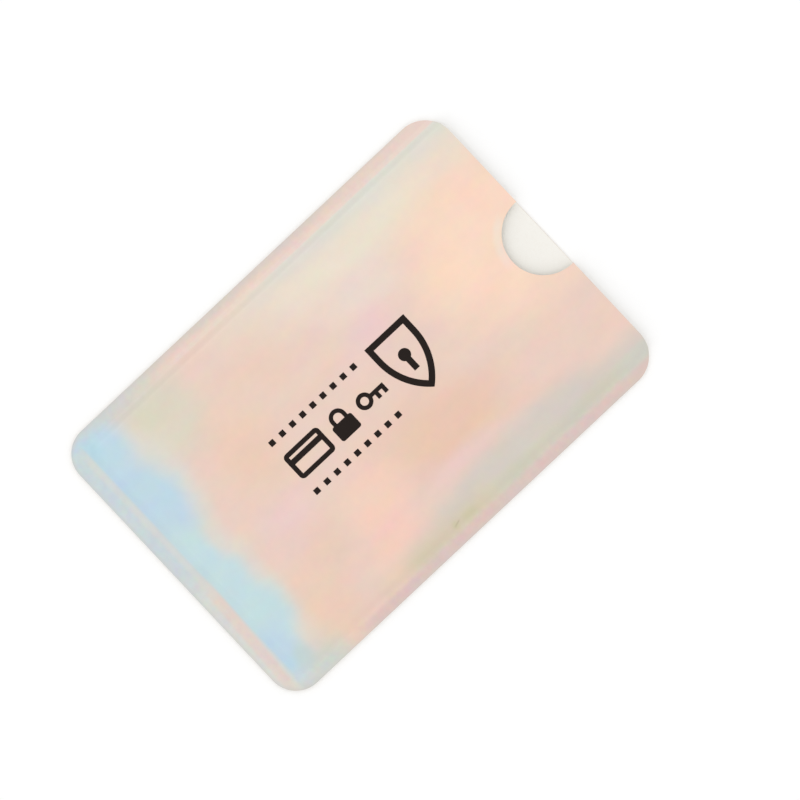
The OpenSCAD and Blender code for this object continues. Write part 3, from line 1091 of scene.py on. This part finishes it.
def make_camera(scene, stage):
    """Looks straight down, turned so that the sleeve's mouth points to the upper right."""
    right = Vector((math.sin(stage.turn), math.cos(stage.turn), 0.0))
    up = Vector((-math.cos(stage.turn), math.sin(stage.turn), 0.0))
    data = bpy.data.cameras.new("camera")
    data.lens = stage.lens
    size = scene.sleeve_sizes
    panel_top = size.level + size.rise + size.film + size.foil + size.board
    height = panel_top + stage.view_width * stage.lens / data.sensor_width
    place = right * stage.right_shift + up * stage.up_shift + Vector((0.0, 0.0, height))
    camera = bpy.data.objects.new("camera", data)
    turned = Matrix((right, up, Vector((0.0, 0.0, 1.0)))).transposed().to_4x4()
    camera.matrix_world = Matrix.Translation(place) @ turned
    scene.collection.objects.link(camera)
    scene.camera = camera


# Operators


class SLEEVE_OT_rear_sheet(bpy.types.Operator):
    """Make the rear sheet's film, foil and board"""

    bl_idname = "sleeve.rear_sheet"
    bl_label = "Rear Sheet"

    def execute(self, context):
        size = context.scene.sleeve_sizes
        foil_low = size.film
        board_low = foil_low + size.foil
        top = board_low + size.board
        film = film_material("rear_film", REAR_LOOK)
        layer("rear_film_layer", ["rear_film"], film, False, 0.0, foil_low)
        layer("rear_foil_layer", ["rear_foil"], foil_material(), False, foil_low, board_low)
        layer("rear_board_layer", ["rear_board"], board_material(), False, board_low, top)
        return {"FINISHED"}


class SLEEVE_OT_front_sheet(bpy.types.Operator):
    """Make the front sheet's board, foil and film, raised over the pocket and notched at the mouth"""

    bl_idname = "sleeve.front_sheet"
    bl_label = "Front Sheet"

    def execute(self, context):
        size = context.scene.sleeve_sizes
        board = bpy.data.materials["white_board"]
        foil = bpy.data.materials["shielding_foil"]
        foil_low = size.board
        film_low = foil_low + size.foil
        top = film_low + size.film
        layer("front_board_layer", BOARD_NODES, board, True, 0.0, foil_low)
        layer("front_foil_layer", ["front_foil"], foil, True, foil_low, film_low)
        film = film_material("front_film", FRONT_LOOK)
        layer("front_film_layer", ["front_film"], film, True, film_low, top)
        return {"FINISHED"}


class SLEEVE_OT_bonds(bpy.types.Operator):
    """Finish the bond in the three pressed seams"""

    bl_idname = "sleeve.bonds"
    bl_label = "Bonds"

    def execute(self, context):
        material = bond_material()
        for name in BOND_NODES:
            finish_node(name, material)
        return {"FINISHED"}


class SLEEVE_OT_marks(bpy.types.Operator):
    """Finish the printed marks"""

    bl_idname = "sleeve.marks"
    bl_label = "Printed Marks"

    def execute(self, context):
        material = ink_material()
        for name in MARK_NODES:
            finish_node(name, material)
        return {"FINISHED"}


class SLEEVE_OT_stage(bpy.types.Operator):
    """Make the floor, the light and the camera"""

    bl_idname = "sleeve.stage"
    bl_label = "Stage"

    def execute(self, context):
        stage = context.scene.sleeve_stage
        context.scene.view_settings.view_transform = "Standard"
        make_floor()
        make_light(stage)
        make_camera(context.scene, stage)
        return {"FINISHED"}


class SLEEVE_PT_panel(bpy.types.Panel):
    """Lists the steps that build the sleeve"""

    bl_label = "Laminated Sleeve"
    bl_idname = "SLEEVE_PT_panel"
    bl_space_type = "VIEW_3D"
    bl_region_type = "UI"
    bl_category = "Sleeve"

    def draw(self, context):
        for operator in OPERATORS:
            self.layout.operator(operator.bl_idname)
        for label, values in (
            ("Sizes", context.scene.sleeve_sizes),
            ("Colours", context.scene.sleeve_colours),
            ("Stage", context.scene.sleeve_stage),
        ):
            box = self.layout.box()
            box.label(text=label)
            for name in values.__annotations__:
                box.prop(values, name)


OPERATORS = (
    SLEEVE_OT_stage,
    SLEEVE_OT_rear_sheet,
    SLEEVE_OT_bonds,
    SLEEVE_OT_front_sheet,
    SLEEVE_OT_marks,
)
SETTINGS = {"sleeve_sizes": SleeveSizes, "sleeve_colours": SleeveColours, "sleeve_stage": SleeveStage}


def register():
    """Adds the settings, the operators and the panel to Blender."""
    for kind in (*SETTINGS.values(), *OPERATORS, SLEEVE_PT_panel):
        bpy.utils.register_class(kind)
    for name, kind in SETTINGS.items():
        setattr(bpy.types.Scene, name, PointerProperty(type=kind))


def unregister():
    """Takes them out again."""
    for name in SETTINGS:
        delattr(bpy.types.Scene, name)
    for kind in (SLEEVE_PT_panel, *OPERATORS, *SETTINGS.values()):
        bpy.utils.unregister_class(kind)


def main():
    """Builds the sleeve, one operator after the other."""
    register()
    for operator in OPERATORS:
        family, step = operator.bl_idname.split(".")
        getattr(getattr(bpy.ops, family), step)()


if __name__ == "__main__":
    main()
